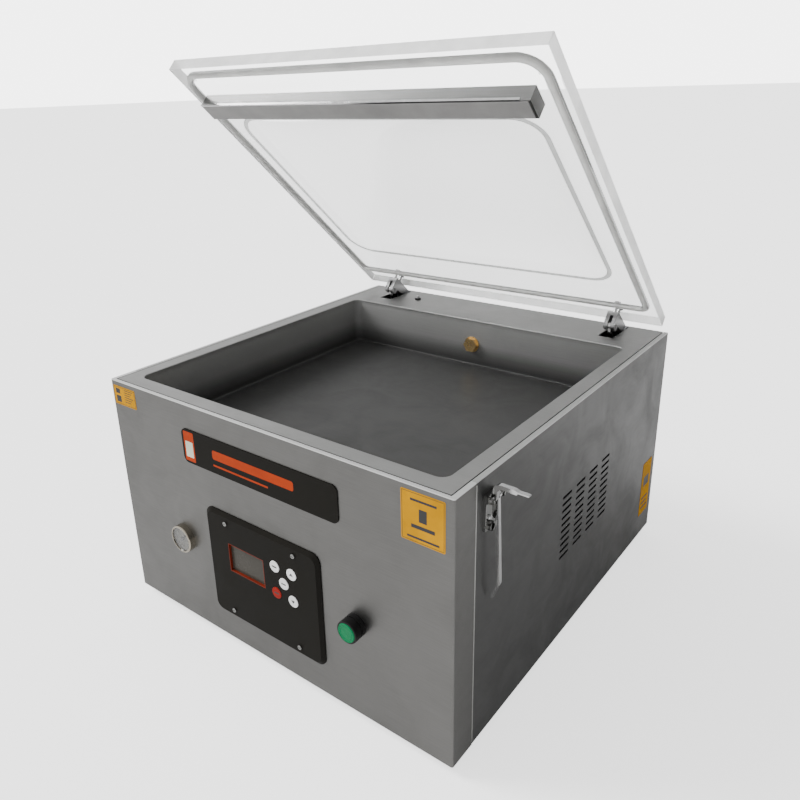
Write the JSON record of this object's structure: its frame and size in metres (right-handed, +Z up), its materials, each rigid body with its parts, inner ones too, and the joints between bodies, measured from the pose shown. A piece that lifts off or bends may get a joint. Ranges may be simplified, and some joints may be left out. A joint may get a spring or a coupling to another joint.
{
  "type": "vacuum packing machine",
  "caption": "Table-top chamber vacuum packing machine: steel cabinet, drawn chamber with a sealing bar, clear lid held open on gas springs, control panel, gauge, start button and side latch",
  "frame": {"origin": "centre of the resting face of the front left rubber foot, on the table", "axes": "+X to the right seen from the front, +Y from the front to the back, +Z up"},
  "size_m": [0.5753, 0.5922, 0.7185],
  "materials": {
    "steel": "brushed stainless sheet",
    "side_steel": "brushed stainless sheet",
    "chamber_steel": "satin stainless",
    "galvanised": "zinc-plated steel",
    "chrome": "polished plating",
    "cast_bracket": "painted die casting",
    "clear_lid": "clear polished acrylic",
    "gasket": "soft translucent silicone",
    "bar_aluminium": "anodised extrusion",
    "dark_silicone": "dark silicone",
    "white_tape": "woven coated tape",
    "brass": "machined brass",
    "black_rubber": "matt rubber",
    "black_plastic": "moulded, fine grain",
    "panel_black": "printed polyester film",
    "frame_red": "translucent red edge",
    "lcd": "unlit liquid crystal display",
    "key_white": "domed key",
    "key_red": "domed key",
    "button_green": "translucent lens",
    "dial_white": "printed card",
    "needle_black": "matt",
    "clear_lens": "clear",
    "label_yellow": "printed film",
    "iron_grey": "painted casting",
    "board_green": "circuit board"
  },
  "bodies": {
    "cabinet": {"base_pan": "galvanised", "rubber_feet": "black_rubber", "front_panel": "steel", "side_panel_left": "side_steel", "side_panel_right": "side_steel", "rear_panel": "side_steel", "rear_screws": "chrome", "power_inlet": "black_plastic", "chamber_tub": "chamber_steel", "vacuum_plug": "brass", "vacuum_hose": "black_rubber", "lift_cylinders": "bar_aluminium", "hinge_bases": "galvanised", "hinge_pins": "chrome", "gas_spring_tube_left": "black_plastic", "gas_spring_tube_right": "black_plastic", "lid_switch_body": "black_plastic", "control_panel": "panel_black", "panel_screws": "chrome", "display_frame": "frame_red", "display_window": "lcd", "control_board": "board_green", "gauge_case": "chrome", "gauge_dial": "dial_white", "gauge_lens": "clear_lens", "start_button_bezel": "black_plastic", "start_button_contact": "black_plastic", "name_plate": "panel_black", "warning_labels": "label_yellow", "latch_base": "chrome", "latch_rivets": "chrome", "vacuum_pump": "iron_grey", "pump_motor": "bar_aluminium", "fan_cover": "black_plastic", "transformer": "iron_grey"},
    "lid": {"lid": "clear_lid", "lid_gasket": "gasket", "counter_bar": "bar_aluminium", "counter_bar_silicone": "dark_silicone", "hinge_bracket_left": "cast_bracket", "hinge_bracket_right": "cast_bracket", "bracket_bolts": "chrome", "gas_spring_pins": "chrome"},
    "gas_rod_left": {"gas_spring_rod_left": "chrome"},
    "gas_rod_right": {"gas_spring_rod_right": "chrome"},
    "sealing_bar": {"seal_bar": "bar_aluminium", "seal_bar_heater": "white_tape", "seal_bar_pistons": "chrome"},
    "start_cap": {"start_button_cap": "button_green"},
    "switch_plunger": {"lid_switch_plunger": "black_plastic"},
    "needle": {"gauge_needle": "needle_black"},
    "lever": {"latch_lever": "chrome"},
    "hook": {"latch_hook": "chrome"},
    "fan": {"motor_fan": "black_plastic"},
    "cap_top_left": {"key_top_left": "key_white"},
    "cap_top_right": {"key_top_right": "key_white"},
    "cap_middle": {"key_middle": "key_white"},
    "cap_stop": {"key_stop": "key_red"},
    "cap_low_right": {"key_low_right": "key_white"}
  },
  "joints": [
    {"name": "lid_hinge", "type": "hinge", "parent": "cabinet", "child": "lid", "pos_m": [0.225, 0.5205, 0.3278], "axis": [1, 0, 0], "range_deg": [0, 42], "stiffness_Nm_per_rad": 8, "springref_deg": -114.59},
    {"name": "gas_spring_left_pivot", "type": "hinge", "parent": "lid", "child": "gas_rod_left", "pos_m": [0.027, 0.48178, 0.34383], "axis": [1, 0, 0], "range_deg": [-42, 0]},
    {"name": "gas_spring_right_pivot", "type": "hinge", "parent": "lid", "child": "gas_rod_right", "pos_m": [0.423, 0.48178, 0.34383], "axis": [1, 0, 0], "range_deg": [-42, 0]},
    {"name": "seal_bar_lift", "type": "slide", "parent": "cabinet", "child": "sealing_bar", "axis": [0, 0, 1], "range_m": [0, 0.0255], "stiffness_N_per_m": 300, "springref_m": -0.01},
    {"name": "start_press", "type": "slide", "parent": "cabinet", "child": "start_cap", "axis": [0, 1, 0], "range_m": [0, 0.003], "stiffness_N_per_m": 800, "springref_m": -0.0005},
    {"name": "key_top_left_press", "type": "slide", "parent": "cabinet", "child": "cap_top_left", "axis": [0, 1, 0], "range_m": [0, 0.0006], "stiffness_N_per_m": 1500, "springref_m": -0.0002},
    {"name": "key_top_right_press", "type": "slide", "parent": "cabinet", "child": "cap_top_right", "axis": [0, 1, 0], "range_m": [0, 0.0006], "stiffness_N_per_m": 1500, "springref_m": -0.0002},
    {"name": "key_middle_press", "type": "slide", "parent": "cabinet", "child": "cap_middle", "axis": [0, 1, 0], "range_m": [0, 0.0006], "stiffness_N_per_m": 1500, "springref_m": -0.0002},
    {"name": "key_stop_press", "type": "slide", "parent": "cabinet", "child": "cap_stop", "axis": [0, 1, 0], "range_m": [0, 0.0006], "stiffness_N_per_m": 1500, "springref_m": -0.0002},
    {"name": "key_low_right_press", "type": "slide", "parent": "cabinet", "child": "cap_low_right", "axis": [0, 1, 0], "range_m": [0, 0.0006], "stiffness_N_per_m": 1500, "springref_m": -0.0002},
    {"name": "switch_press", "type": "slide", "parent": "cabinet", "child": "switch_plunger", "axis": [0, 0, -1], "range_m": [0, 0.0045]},
    {"name": "needle_turn", "type": "hinge", "parent": "cabinet", "child": "needle", "pos_m": [0.079, -0.045, 0.1355], "axis": [0, -1, 0], "range_deg": [0, 250], "stiffness_Nm_per_rad": 0.0001, "springref_deg": -11.46},
    {"name": "latch_lever_turn", "type": "hinge", "parent": "cabinet", "child": "lever", "pos_m": [0.4985, 0.0205, 0.309], "axis": [0, 1, 0], "range_deg": [0, 60]},
    {"name": "latch_hook_swing", "type": "hinge", "parent": "cabinet", "child": "hook", "pos_m": [0.4985, 0.0205, 0.309], "axis": [0, 1, 0], "range_deg": [-70, 0.5]},
    {"name": "fan_spin", "type": "hinge", "parent": "cabinet", "child": "fan", "pos_m": [0.426, 0.396, 0.092], "axis": [1, 0, 0], "continuous": true}
  ],
  "couplings": [
    {"joint": "gas_spring_left_pivot", "follows": "lid_hinge", "ratio": -1},
    {"joint": "gas_spring_right_pivot", "follows": "lid_hinge", "ratio": -1},
    {"joint": "switch_press", "follows": "lid_hinge", "m_per_rad": 0.0061}
  ]
}
